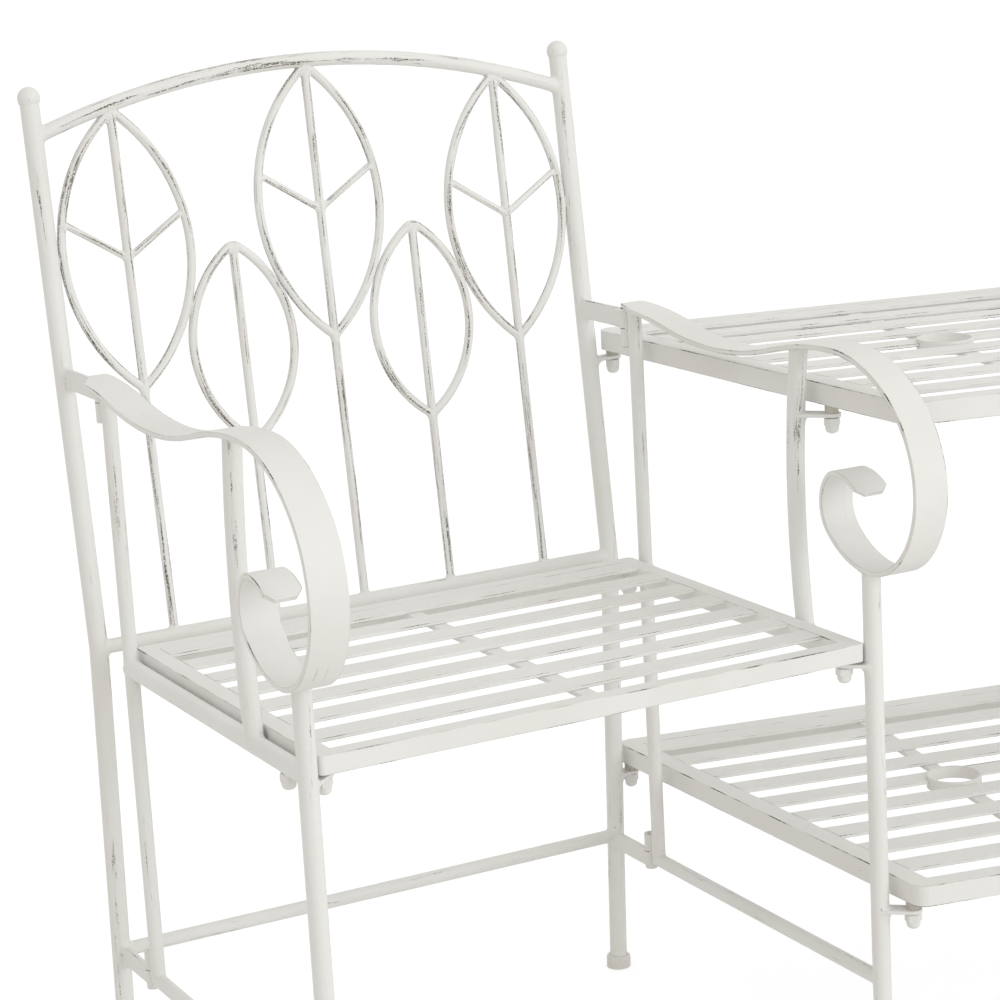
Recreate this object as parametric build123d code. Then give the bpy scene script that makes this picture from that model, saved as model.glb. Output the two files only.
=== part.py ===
from build123d import *
from math import atan2, cos, degrees, hypot, radians, sin, sqrt, tan
import cmath
import os

os.makedirs("parts", exist_ok=True)

# Garden companion seat in painted steel: two armchairs joined by a two-tier slatted table.
# Millimetres, +Z up, floor at Z = 0, front towards -Y, mirror plane at X = 0.
# Each chair is drawn in its own axes (x across, y backwards from the front legs), then turned inwards.

# Layout of the chairs and the table
splay_angle = 11.0
table_side_gap = 15.0
table_front_overhang = 37.0

# Small distances between welded, fitted and turning pieces
weld_gap = 0.05
touch_gap = 0.1
fit_gap = 0.15
hinge_gap = 0.2

# Side frames of a chair
frame_spacing = 520.0
front_leg_diameter = 16.0
upright_diameter = 13.0
seat_rail_diameter = 16.0
seat_rail_height = 432.0
stretcher_diameter = 13.0
stretcher_height = 142.0
tube_wall = 1.5

# Armrest bar, bent in tangent arcs: rear end, dip, crest, front sweep, scroll, rolled tip
arm_width = 32.0
arm_thickness = 4.5
arm_outset = 6.3
scroll_bottom_height = 508.0
scroll_bottom_forward = 10.0
rear_slope_fall = 19.0
front_slope_run, front_slope_rise = 182.0, 22.5
sweep_run, sweep_fall = 118.0, 105.5
scroll_front_fall, scroll_front_run = 76.0, 68.0
scroll_rear_run, scroll_rear_rise = 69.0, 48.0
roll_rise, roll_run = 29.0, 22.0
roll_tip_radius, roll_tip_turn = 51.0, 43.6
arm_tip_chamfer = 7.0
arm_rear_rounding = 4.0
arm_rear_overhang = 23.0
arm_tongue_length = 30.0
arm_tongue_width = 16.0

# Arm supports, slightly bowed tubes between armrest and seat rail
support_diameter = 16.0
support_top_setback = 99.0
support_foot_setback = 102.0
support_bow = 10.0

# Back of a chair
post_spacing = 525.0
post_diameter = 17.0
post_setback = 452.0
post_lean = 6.4
post_foot_splay = 2.85
post_bend_radius = 60.0
post_length = 482.5
rear_rail_height = 434.0
rear_rail_diameter = 13.0
top_rail_diameter = 13.0
top_rail_drop = 29.5
top_rail_rise = 47.0
finial_diameter = 20.0
finial_seat_drop = 5.0

# Leaves in the back, bent from round bar
leaf_bar_diameter = 8.0
vein_diameter = 6.0
tall_leaf_spacing = 190.0
tall_leaf_length = 247.0
tall_leaf_tip_radius = 6.0
tall_leaf_tip_sink = 1.5
short_leaf_spacing = 180.0
short_leaf_length = 180.0
short_leaf_tip_height = 342.5
short_leaf_tip_radius = 9.0
vein_joint_drop = 129.0
vein_end_drop = 92.0

# Hinges between the back and the side frames
strap_height = 18.0
strap_thickness = 4.0
strap_arm_gap = 0.3
lower_strap_base = 130.0
knuckle_diameter = 12.0
knuckle_height = 17.5
hinge_lug = 3.0
hinge_reach = 75.0
hinge_pin_diameter = 6.0

# Seat panel
seat_top_height = 446.0
seat_front_overhang = 2.0
seat_back_overhang = 13.0
seat_side_gap = 1.5
seat_panel_rail_width = 16.5
seat_panel_rail_height = 16.0
seat_slat_count = 7
seat_corner_radius = 5.0

# Table panels: top and shelf share one outline
table_depth = 510.0
table_mid_width = 406.0
table_rail_width = 20.0
table_rail_height = 19.0
table_corner_radius = 13.0
table_slat_count = 9
table_top_height = 652.0
shelf_top_height = 234.0

# Slats, braces and parasol rings
slat_width = 27.0
slat_thickness = 3.0
brace_width = 14.0
brace_thickness = 4.0
panel_wall = 1.5
ring_bore = 48.0
ring_wall = 2.0
ring_height = 12.0
ring_proud = 3.0

# Fixings: studs under the panels, spacers, brackets and domed nuts
stud_diameter = 8.0
spacer_diameter = 12.0
seat_spacer_height = 3.0
table_spacer_height = 7.0
bracket_thickness = 3.0
bracket_width = 16.0
nut_across_flats = 13.0
nut_hex_height = 6.5
nut_height = 15.0
nut_dome_diameter = 12.5
stud_end_room = 1.5
seat_stud_inset = 10.0
seat_stud_setback = 15.5
table_stud_inset = 6.5
table_back_stud_inset = 13.5
table_stud_setback = 84.0
shelf_stud_forward = 18.0
rail_bolt_setback = 38.0

# Foot caps
foot_diameter = 24.0
foot_height = 13.0
foot_floor = 3.0
foot_rounding = 3.0

# Places that follow from the sizes above
frame_x = frame_spacing / 2
post_x = post_spacing / 2
arm_x = frame_x + arm_outset
upright_setback = post_setback - hinge_reach
upright_radius = upright_diameter / 2
knuckle_radius = knuckle_diameter / 2
hinge_y = upright_setback + upright_radius + hinge_lug + knuckle_radius
seat_depth = seat_front_overhang + upright_setback + seat_back_overhang
arm_front_run = sweep_run - scroll_front_run - scroll_bottom_forward
rear_slope_run = upright_setback + arm_rear_overhang - front_slope_run - arm_front_run
top_rail_end = post_length - top_rail_drop
top_rail_crown = top_rail_end + top_rail_rise
leaf_bar_radius = leaf_bar_diameter / 2
short_leaf_offset = short_leaf_spacing / 2
leaf_foot_reach = leaf_bar_radius * 0.75
lean_direction = Vector(0, sin(radians(post_lean)), cos(radians(post_lean)))
back_plane = Plane(
    origin=(0, post_setback, rear_rail_height),
    x_dir=(1, 0, 0),
    z_dir=(0, -lean_direction.Z, lean_direction.Y),
)


def rod(start, end, diameter):
    """Solid round bar between two points."""
    start = Vector(start)
    along = Vector(end) - start
    return Solid.make_cylinder(diameter / 2, along.length, Plane(origin=start, z_dir=along))


def pipe(start, end, diameter, wall):
    """Round tube between two points."""
    return rod(start, end, diameter) - rod(start, end, diameter - 2 * wall)


def largest(shape):
    """The main solid of a cut piece."""
    return max(shape.solids(), key=lambda solid: solid.volume)


def cope(piece, *cutters):
    """Cut a piece back to the neighbours that it is welded to."""
    for cutter in cutters:
        piece = piece - cutter
    return largest(piece)


def bent_bar(path, diameter, wall=0.0):
    """Round bar or tube along a smooth path."""
    section = Circle(diameter / 2)
    if wall:
        section = section - Circle(diameter / 2 - wall)
    return largest(sweep((path ^ 0) * section, path=path))


def block(low, high):
    """Upright box between two corners."""
    size = Vector(high) - Vector(low)
    centre = (Vector(high) + Vector(low)) * 0.5
    return Pos(*centre) * Box(*size)


def back_point(across, height):
    """Point in the leaning plane of the chair back."""
    foot = Vector(across, post_setback, rear_rail_height)
    return foot + lean_direction * height


def post_y(height):
    """Depth of a back post's axis at a height above the floor."""
    rise = height - rear_rail_height
    if rise >= 0:
        return post_setback + rise * tan(radians(post_lean))
    return post_setback - rise * tan(radians(post_foot_splay))


# Armrest


def slope(run, height):
    """Two equal and opposite arcs, level at both ends, as radius and turn."""
    turn = 2 * degrees(atan2(height, run))
    radius = run / sin(radians(turn)) / 2
    return [(radius, turn), (radius, -turn)]


def quarter(ahead, aside):
    """Two arcs that turn left by a right angle, going ahead and aside by given lengths."""
    straight, cross = sin(radians(45)), 1 - cos(radians(45))
    spread = straight**2 - cross**2
    first = (straight * ahead - cross * aside) / spread
    second = (straight * aside - cross * ahead) / spread
    return [(first, 45.0), (second, 45.0)]


def bends_reversed(bends):
    """The same bends turning the other way."""
    return [(radius, -turn) for radius, turn in bends]


bends_to_scroll_bottom = (
    slope(rear_slope_run, rear_slope_fall)
    + bends_reversed(slope(front_slope_run, front_slope_rise))
    + quarter(sweep_run, sweep_fall)
    + quarter(scroll_front_fall, scroll_front_run)
)
arm_bends = (
    bends_to_scroll_bottom
    + quarter(scroll_rear_run, scroll_rear_rise)
    + quarter(roll_rise, roll_run)
    + [(roll_tip_radius, roll_tip_turn)]
)


def bend_end(start, heading, bends):
    """Point and heading, as complex numbers, at the end of a chain of arcs."""
    for radius, turn in bends:
        side = 1 if turn > 0 else -1
        swing = cmath.exp(1j * radians(turn))
        start = start + side * 1j * heading * radius * (1 - swing)
        heading = heading * swing
    return start, heading


def arm_start():
    """Rear end of the arm's centre line, set so that the scroll stands on the front leg."""
    reach, _ = bend_end(0j, -1 + 0j, bends_to_scroll_bottom)
    return complex(-scroll_bottom_forward, scroll_bottom_height) - reach


def arm_edge(shift):
    """Arcs of the arm's side view, moved to the left of the centre line."""
    heading = -1 + 0j
    point = arm_start() + 1j * heading * shift
    arcs = []
    for radius, turn in arm_bends:
        bend_radius = radius - shift if turn > 0 else radius + shift
        arcs.append(JernArc((point.real, point.imag), (heading.real, heading.imag), bend_radius, turn))
        point, heading = bend_end(point, heading, [(bend_radius, turn)])
    return arcs


def armrest(thickness, width):
    """Flat bar bent to the arm's side view, lying across the plane x = arm_x."""
    upper = arm_edge(-thickness / 2)
    lower = arm_edge(thickness / 2)
    rear_end = Line(upper[0] @ 0, lower[0] @ 0)
    tip_end = Line(upper[-1] @ 1, lower[-1] @ 1)
    outline = make_face(upper + lower + [rear_end, tip_end])
    side_view = Plane(origin=(arm_x - width / 2, 0, 0), x_dir=(0, 1, 0), z_dir=(1, 0, 0))
    return (side_view * extrude(outline, width)).solid()


def end_corners(arm, place):
    """The two short edges at an end of the arm, given as a complex point of its side view."""
    corners = []
    for edge in arm.edges():
        middle = edge.center()
        apart = abs(complex(middle.Y, middle.Z) - place)
        if apart < arm_thickness and abs(edge.length - arm_thickness) < fit_gap:
            corners.append(edge)
    return corners


def rear_corner_cut():
    """Wedge that clips the arm's outer rear corner, leaving a tongue over the hinge."""
    rear = arm_start()
    outer = arm_x + arm_width / 2
    side_point = Vector(outer, rear.real - arm_tongue_length)
    end_point = Vector(outer - arm_width + arm_tongue_width, rear.real)
    beyond = (end_point - side_point) * 0.2
    far_corner = Vector(outer, rear.real) + Vector(arm_width, arm_width)
    wedge = make_face(Polyline(side_point - beyond, far_corner, end_point + beyond, close=True))
    return Pos(0, 0, rear.imag - arm_width) * extrude(wedge, 2 * arm_width)


def finished_armrest():
    """Armrest with clipped corners at the rolled tip and a rounded tongue at the rear."""
    arm = armrest(arm_thickness, arm_width)
    tip, _ = bend_end(arm_start(), -1 + 0j, arm_bends)
    arm = chamfer(end_corners(arm, tip), arm_tip_chamfer)
    arm = cope(arm, rear_corner_cut())
    return fillet(end_corners(arm, arm_start()), arm_rear_rounding).solid()


def arm_height(setback):
    """Height of the arm's centre line above a point behind the front legs, on its upper side."""
    point, heading = arm_start(), -1 + 0j
    for radius, turn in arm_bends:
        side = 1 if turn > 0 else -1
        centre = point + side * 1j * heading * radius
        end, next_heading = bend_end(point, heading, [(radius, turn)])
        if end.real <= setback <= point.real:
            rise = sqrt(radius**2 - (setback - centre.real) ** 2)
            return centre.imag + side * rise
        point, heading = end, next_heading
    return point.imag


# Side frames


def side_frame():
    """Tubes of the side frame at x = frame_x, keyed by name."""
    arm_clear = armrest(arm_thickness + 2 * weld_gap, arm_width + 2 * weld_gap)
    leg_foot = Vector(frame_x, 0, foot_floor)
    leg_head = Vector(frame_x, 0, scroll_bottom_height)
    leg_clear = rod(leg_foot, leg_head, front_leg_diameter + 2 * weld_gap)
    leg = cope(pipe(leg_foot, leg_head, front_leg_diameter, tube_wall), arm_clear)

    corner = Vector(frame_x, upright_setback, stretcher_height)
    upright_head = Vector(frame_x, upright_setback, arm_height(upright_setback))
    upright_clear = rod(corner, upright_head, upright_diameter + 2 * weld_gap)
    mitre_room = 2 * max(upright_diameter, stretcher_diameter)
    upright = pipe(corner - Vector(0, 0, mitre_room), upright_head, upright_diameter, tube_wall)
    mitre = Plane(origin=corner, z_dir=(0, 1, 1))
    upright = cope(upright.split(mitre.offset(weld_gap), keep=Keep.TOP), arm_clear)
    stretcher = pipe(
        Vector(frame_x, 0, stretcher_height),
        corner + Vector(0, mitre_room, 0),
        stretcher_diameter,
        tube_wall,
    )
    stretcher = cope(stretcher.split(mitre, keep=Keep.BOTTOM), leg_clear)

    rail_front = Vector(frame_x, 0, seat_rail_height)
    rail_back = Vector(frame_x, upright_setback, seat_rail_height)
    rail = cope(pipe(rail_front, rail_back, seat_rail_diameter, tube_wall), leg_clear, upright_clear)
    bolt = rail_bolt_top()
    bolt_hole = rod(bolt, bolt - Vector(0, 0, seat_rail_diameter), stud_diameter + 2 * fit_gap)
    rail = cope(rail, bolt_hole)
    rail_clear = rod(rail_front, rail_back, seat_rail_diameter + 2 * weld_gap)

    support = support_tube(support_diameter, tube_wall)
    support = cope(support, arm_clear, rail_clear)
    return {
        "front_leg": leg,
        "rear_upright": upright,
        "side_stretcher": stretcher,
        "seat_side_rail": rail,
        "arm_support": support,
        "armrest": finished_armrest(),
    }


def support_tube(diameter, wall=0.0):
    """Bowed tube from the armrest's underside down to the seat rail."""
    head_height = arm_height(support_top_setback)
    middle_setback = (support_top_setback + support_foot_setback) / 2 + support_bow
    path = ThreePointArc(
        (frame_x, support_top_setback, head_height),
        (frame_x, middle_setback, (head_height + seat_rail_height) / 2),
        (frame_x, support_foot_setback, seat_rail_height),
    )
    return bent_bar(path, diameter, wall)


def support_point(height):
    """Setback of the arm support's axis at a height."""
    head_height = arm_height(support_top_setback)
    share = (height - seat_rail_height) / (head_height - seat_rail_height)
    straight = support_foot_setback + share * (support_top_setback - support_foot_setback)
    return straight + support_bow * 4 * share * (1 - share)


def rail_bolt_top():
    """Upper end of the bolt through the underside of a seat rail."""
    return Vector(frame_x, rail_bolt_setback, seat_rail_height)


# Back frame


def post_path(side):
    """Axis of a back post from its foot, past the bend at the seat, to the finial."""
    foot = Vector(side * post_x, post_y(foot_floor), foot_floor)
    bend = back_point(side * post_x, 0)
    head = back_point(side * post_x, post_length)
    return FilletPolyline(foot, bend, head, radius=post_bend_radius)


def post_clear(side):
    """Solid bar a weld gap larger than the post, for cutting back what meets it."""
    return bent_bar(post_path(side), post_diameter + 2 * weld_gap)


def arch_height(across):
    """Height of the top rail's axis in the back plane."""
    rise = top_rail_crown - top_rail_end
    radius = (post_x**2 + rise**2) / (2 * rise)
    return top_rail_crown - radius + sqrt(radius**2 - across**2)


def top_rail(diameter, wall=0.0):
    """Arched tube between the posts."""
    arch = back_plane * ThreePointArc((-post_x, top_rail_end), (0, top_rail_crown), (post_x, top_rail_end))
    return bent_bar(arch, diameter, wall)


tall_leaf_half_width = post_x - post_diameter / 2 - tall_leaf_spacing - leaf_bar_radius - touch_gap


def leaf_side_circle(length, half_width):
    """Radius of the arc that runs from a leaf's tip to its foot."""
    return (half_width**2 + (length / 2) ** 2) / (2 * half_width)


def tall_leaf_tip(across):
    """Height of a tall leaf's tip, where it is welded under the top rail."""
    return arch_height(across) - top_rail_diameter / 2 + tall_leaf_tip_sink


def leaf_clearance(half_width):
    """Least distance between a short leaf's bar and the tall leaves on both sides of it."""
    tall_radius = leaf_side_circle(tall_leaf_length, tall_leaf_half_width)
    short_radius = leaf_side_circle(short_leaf_length, half_width)
    short_middle = short_leaf_tip_height - short_leaf_length / 2
    gaps = []
    for tall_across in (0.0, tall_leaf_spacing):
        apart = abs(tall_across - short_leaf_offset)
        across = apart - tall_leaf_half_width + tall_radius - half_width + short_radius
        upward = tall_leaf_tip(tall_across) - tall_leaf_length / 2 - short_middle
        gaps.append(hypot(across, upward) - tall_radius - short_radius - leaf_bar_diameter)
    return min(gaps)


def touching_half_width():
    """Half width at which a short leaf rests against its neighbours, by bisection."""
    narrow, wide = leaf_bar_diameter, short_leaf_length / 2
    for _ in range(40):
        middle = (narrow + wide) / 2
        if leaf_clearance(middle) > touch_gap:
            narrow = middle
        else:
            wide = middle
    return narrow


short_leaf_half_width = touching_half_width()


class Leaf:
    """One leaf of the back: a bar bent round a tip, with a stem up its middle."""

    def __init__(self, across, tip, length, half_width, tip_radius):
        self.across = across
        self.middle = tip - length / 2
        self.half_width = half_width
        self.radius = leaf_side_circle(length, half_width)
        self.tip_radius = tip_radius
        inset = self.radius - half_width
        self.tip_centre = self.middle + sqrt((self.radius - tip_radius) ** 2 - inset**2)
        self.apex = self.tip_centre + tip_radius

    def side_point(self, side, height):
        """Point of the bar's axis at a height, on one side."""
        inset = self.radius - self.half_width
        reach = sqrt(self.radius**2 - (height - self.middle) ** 2) - inset
        return self.across + side * reach, height

    def tip_tangent(self, side):
        """Where the side arc runs into the small arc of the tip."""
        inset = self.radius - self.half_width
        angle = atan2(self.tip_centre - self.middle, inset)
        return self.across + side * (self.radius * cos(angle) - inset), self.middle + self.radius * sin(angle)

    def bar(self, diameter):
        """Bent bar from one side of the stem, round the tip, to the other side."""
        inset = self.radius - self.half_width
        start = self.middle - sqrt(self.radius**2 - (inset + leaf_foot_reach) ** 2)
        right = ThreePointArc(self.side_point(1, start), self.side_point(1, self.middle), self.tip_tangent(1))
        tip = ThreePointArc(self.tip_tangent(1), (self.across, self.apex), self.tip_tangent(-1))
        ends = self.tip_tangent(-1), self.side_point(-1, start)
        left = ThreePointArc(ends[0], self.side_point(-1, self.middle), ends[1])
        path = back_plane * Wire([right.edge(), tip.edge(), left.edge()])
        return bent_bar(path, diameter)

    def stem(self, diameter, top):
        """Straight bar from the rear rail up the middle of the leaf."""
        return rod(back_point(self.across, 0), back_point(self.across, top), diameter)


def back_leaves():
    """Leaves of one chair back: three tall, two short."""
    tall = [
        Leaf(across, tall_leaf_tip(across), tall_leaf_length, tall_leaf_half_width, tall_leaf_tip_radius)
        for across in (-tall_leaf_spacing, 0.0, tall_leaf_spacing)
    ]
    short = [
        Leaf(across, short_leaf_tip_height, short_leaf_length, short_leaf_half_width, short_leaf_tip_radius)
        for across in (-short_leaf_offset, short_leaf_offset)
    ]
    return tall, short


def leaf_work(rail_clear, rear_rail_clear):
    """Leaf bars, stems and veins, each cut back to what it is welded to."""
    bar_clear = leaf_bar_diameter + 2 * weld_gap
    tall, short = back_leaves()
    pieces = {"tall_leaves": [], "short_leaves": [], "leaf_stems": [], "leaf_veins": []}
    for leaf in tall + short:
        outline_clear = leaf.bar(bar_clear)
        lower_stem_clear = leaf.stem(bar_clear, leaf.middle)
        outline = cope(leaf.bar(leaf_bar_diameter), lower_stem_clear)
        stem = cope(leaf.stem(leaf_bar_diameter, leaf.apex), outline_clear, rear_rail_clear)
        pieces["leaf_stems"].append(stem)
        if leaf in short:
            pieces["short_leaves"].append(outline)
            continue
        pieces["tall_leaves"].append(cope(outline, rail_clear))
        stem_clear = leaf.stem(bar_clear, leaf.apex)
        joint = back_point(leaf.across, leaf.apex - vein_joint_drop)
        for side in (-1, 1):
            end = back_point(*leaf.side_point(side, leaf.apex - vein_end_drop))
            pieces["leaf_veins"].append(cope(rod(joint, end, vein_diameter), stem_clear, outline_clear))
    return pieces


def back_frame():
    """Posts, rails and leaves of one chair back, keyed by name."""
    clear_left = post_clear(-1)
    clear_right = post_clear(1)
    rail = cope(top_rail(top_rail_diameter, tube_wall), clear_left, clear_right)
    rail_clear = top_rail(top_rail_diameter + 2 * weld_gap)
    rear_left, rear_right = back_point(-post_x, 0), back_point(post_x, 0)
    rear_rail = cope(pipe(rear_left, rear_right, rear_rail_diameter, tube_wall), clear_left, clear_right)
    rear_rail_clear = rod(rear_left, rear_right, rear_rail_diameter + 2 * weld_gap)
    low = Vector(post_x, post_y(stretcher_height), stretcher_height)
    mirrored_low = Vector(-low.X, low.Y, low.Z)
    stretcher = cope(pipe(mirrored_low, low, stretcher_diameter, tube_wall), clear_left, clear_right)
    pieces = {
        "outer_back_post": [bent_bar(post_path(-1), post_diameter, tube_wall)],
        "inner_back_post": [bent_bar(post_path(1), post_diameter, tube_wall)],
        "back_top_rail": [rail],
        "rear_seat_rail": [rear_rail],
        "rear_stretcher": [stretcher],
    }
    pieces.update(leaf_work(rail_clear, rear_rail_clear))
    return pieces


def finial(side):
    """Ball on top of a back post, flattened where it sits on the tube's end."""
    seat = Plane(origin=back_point(side * post_x, post_length), z_dir=lean_direction)
    centre = seat.origin + lean_direction * finial_seat_drop
    return (Pos(*centre) * Sphere(finial_diameter / 2)).split(seat, keep=Keep.TOP).solid()


# Hinges


upper_strap_base = arm_start().imag - arm_thickness / 2 - strap_arm_gap - strap_height


def hinge_axis(base, height):
    """Lower and upper end of a length of hinge barrel."""
    return Vector(frame_x, hinge_y, base), Vector(frame_x, hinge_y, base + height)


def hinge_strap(base):
    """Flat strap from the back post to its hinge knuckle."""
    start, end = hinge_axis(base, strap_height)
    knuckle = rod(start, end, knuckle_diameter)
    half = strap_thickness / 2
    top = base + strap_height
    bar = block((frame_x - half, hinge_y, base), (frame_x + half, post_y(top), top))
    bore = rod(start, end, hinge_pin_diameter + 2 * touch_gap)
    return cope(knuckle + bar - bore, post_clear(1))


def frame_knuckle(base):
    """Hinge knuckle with a short lug, welded to the rear upright."""
    start, end = hinge_axis(base, knuckle_height)
    half = strap_thickness / 2
    lug = block((frame_x - half, upright_setback, base), (frame_x + half, hinge_y, base + knuckle_height))
    bore = rod(start, end, hinge_pin_diameter + 2 * touch_gap)
    shaft = Vector(frame_x, upright_setback, base)
    upright_clear = rod(shaft, shaft + Vector(0, 0, knuckle_height), upright_diameter + 2 * weld_gap)
    return cope(rod(start, end, knuckle_diameter) + lug - bore, upright_clear)


def hinges():
    """Straps, knuckles and pins of the two hinges on one side frame."""
    upper_knuckle_base = upper_strap_base - hinge_gap - knuckle_height
    lower_knuckle_base = lower_strap_base + strap_height + hinge_gap
    barrel = strap_height + hinge_gap + knuckle_height
    pins = [
        rod(*hinge_axis(upper_knuckle_base, barrel), hinge_pin_diameter),
        rod(*hinge_axis(lower_strap_base, barrel), hinge_pin_diameter),
    ]
    return {
        "hinge_straps": [hinge_strap(upper_strap_base), hinge_strap(lower_strap_base)],
        "hinge_knuckles": [frame_knuckle(upper_knuckle_base), frame_knuckle(lower_knuckle_base)],
        "hinge_pins": pins,
    }


# Panels


def inset_outline(corners, distance):
    """Corner points of a convex outline, moved inwards by a distance."""
    count = len(corners)
    moved = []
    for index in range(count):
        before, here, after = (complex(*corners[(index + step) % count]) for step in (-1, 0, 1))
        first = (here - before) / abs(here - before)
        second = (after - here) / abs(after - here)
        bisector = 1j * (first + second) / abs(first + second)
        depth = distance / (bisector * (1j * first).conjugate()).real
        moved.append(here + bisector * depth)
    return [(point.real, point.imag) for point in moved]


def outline_face(corners, radius=0.0):
    """Face of an outline, with its corners rounded."""
    face = make_face(Polyline(*corners, close=True))
    return fillet(face.vertices(), radius) if radius else face


def panel_frame(corners, top, rail_width, rail_height, corner_radius):
    """Hollow rails round a panel, mitred at the corners."""
    base = top - rail_height
    inner = inset_outline(corners, rail_width)
    ring = extrude(outline_face(corners, corner_radius) - outline_face(inner), rail_height)
    hollow_outer = outline_face(inset_outline(corners, panel_wall), corner_radius - panel_wall)
    hollow_inner = outline_face(inset_outline(corners, rail_width - panel_wall))
    hollow = extrude(hollow_outer - hollow_inner, rail_height - 2 * panel_wall)
    tube = Pos(0, 0, base) * (ring - Pos(0, 0, panel_wall) * hollow)
    rails = []
    for index in range(len(corners)):
        after = (index + 1) % len(corners)
        wedge = outline_face([corners[index], corners[after], inner[after], inner[index]])
        sector = Pos(0, 0, base) * extrude(wedge, rail_height)
        rails.append(largest(tube & sector))
    return rails


def half_width_at(corners, depth):
    """Half width of a symmetric four-sided outline at a depth."""
    (_, front), (front_right, _), (back_right, back) = corners[0], corners[1], corners[2]
    share = (depth - front) / (back - front)
    return front_right + share * (back_right - front_right)


def panel_slats(corners, top, rail_width, count):
    """Flat slats between the side rails, the last one close against the back rail."""
    inner = inset_outline(corners, rail_width + weld_gap)
    front, back = inner[0][1], inner[2][1]
    pitch = (back - front) / count
    slats = []
    for index in range(count):
        rear = front + (index + 1) * pitch
        fore = rear - slat_width
        slat_outline = [
            (-half_width_at(inner, fore), fore),
            (half_width_at(inner, fore), fore),
            (half_width_at(inner, rear), rear),
            (-half_width_at(inner, rear), rear),
        ]
        slat = extrude(outline_face(slat_outline), slat_thickness)
        slats.append((Pos(0, 0, top - slat_thickness) * slat).solid())
    return slats


def panel_brace(corners, top, rail_width):
    """Flat bar from front rail to back rail, under the slats."""
    inner = inset_outline(corners, rail_width + weld_gap)
    upper = top - slat_thickness - weld_gap
    half = brace_width / 2
    return block((-half, inner[0][1], upper - brace_thickness), (half, inner[2][1], upper))


seat_half_width = frame_x - seat_rail_diameter / 2 - seat_side_gap
seat_corners = [
    (-seat_half_width, -seat_front_overhang),
    (seat_half_width, -seat_front_overhang),
    (seat_half_width, seat_depth - seat_front_overhang),
    (-seat_half_width, seat_depth - seat_front_overhang),
]
table_slope = tan(radians(splay_angle))
table_front_half = table_mid_width / 2 - table_slope * table_depth / 2
table_back_half = table_mid_width / 2 + table_slope * table_depth / 2
table_corners = [
    (-table_front_half, -table_depth / 2),
    (table_front_half, -table_depth / 2),
    (table_back_half, table_depth / 2),
    (-table_back_half, table_depth / 2),
]


def seat_panel():
    """Frame, slats and brace of one seat."""
    frame = panel_frame(
        seat_corners, seat_top_height, seat_panel_rail_width, seat_panel_rail_height, seat_corner_radius
    )
    return {
        "seat_frame": frame,
        "seat_slats": panel_slats(seat_corners, seat_top_height, seat_panel_rail_width, seat_slat_count),
        "seat_brace": [panel_brace(seat_corners, seat_top_height, seat_panel_rail_width)],
    }


def table_tier(name, top):
    """Frame, slats, brace and parasol ring of one tier of the table."""
    ring_outer = ring_bore + 2 * ring_wall
    ring_top = top + ring_proud
    foot, head = Vector(0, 0, ring_top - ring_height), Vector(0, 0, ring_top)
    ring = pipe(foot, head, ring_outer, ring_wall)
    ring_clear = rod(foot, head, ring_outer + 2 * weld_gap)
    slats = []
    for slat in panel_slats(table_corners, top, table_rail_width, table_slat_count):
        slats.extend((slat - ring_clear).solids())
    brace = panel_brace(table_corners, top, table_rail_width) - ring_clear
    frame = panel_frame(table_corners, top, table_rail_width, table_rail_height, table_corner_radius)
    return {
        name + "_frame": frame,
        name + "_slats": slats,
        name + "_brace": list(brace.solids()),
        name + "_ring": [ring],
    }


# Fixings


def domed_nut(seat):
    """Nut whose flat face looks up at a point, with a blind hole for the stud."""
    hexagon = extrude(RegularPolygon(nut_across_flats / 2, 6, major_radius=False), -nut_hex_height)
    dome_radius = nut_dome_diameter / 2
    barrel = Pos(0, 0, -nut_height + dome_radius) * Cylinder(
        dome_radius, nut_height - dome_radius, align=(Align.CENTER, Align.CENTER, Align.MIN)
    )
    dome = Pos(0, 0, -nut_height + dome_radius) * Sphere(dome_radius)
    depth = nut_height - 2 * stud_end_room
    bore = Pos(0, 0, -depth / 2) * Cylinder(stud_diameter / 2 + fit_gap, depth)
    return (Pos(*seat) * (hexagon + barrel + dome - bore)).solid()


def bracket(root, stud, height, clear):
    """Flat tab from a tube to a stud, with a round end and a hole."""
    start, end = complex(*root), complex(*stud)
    along = end - start
    half = bracket_width / 2 * 1j * along / abs(along)
    sides = [start + half, start - half, end - half, end + half]
    tab = make_face(Polyline(*[(p.real, p.imag) for p in sides], close=True))
    tab = tab + Pos(*stud) * Circle(bracket_width / 2) - Pos(*stud) * Circle(stud_diameter / 2 + fit_gap)
    return cope((Pos(0, 0, height) * extrude(tab, bracket_thickness)).solid(), *clear)


def fixing(root, stud, panel_base, spacer_height, clear):
    """Stud, spacer, bracket and nut that hold a panel to a tube."""
    bracket_base = panel_base - spacer_height - bracket_thickness
    head = Vector(stud[0], stud[1], panel_base)
    tail = Vector(stud[0], stud[1], bracket_base - nut_height + 3 * stud_end_room)
    spacer = rod(head, head - Vector(0, 0, spacer_height), spacer_diameter)
    spacer = spacer - rod(head, tail, stud_diameter + 2 * fit_gap)
    return {
        "panel_studs": rod(head, tail, stud_diameter),
        "stud_spacers": largest(spacer),
        "panel_brackets": bracket(root, stud, bracket_base, clear),
        "domed_nuts": domed_nut((stud[0], stud[1], bracket_base)),
    }


def upright_bar(setback, low, high, diameter):
    """Vertical solid bar in the plane of the side frame, for cutting brackets back."""
    return rod((frame_x, setback, low), (frame_x, setback, high), diameter + 2 * weld_gap)


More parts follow.
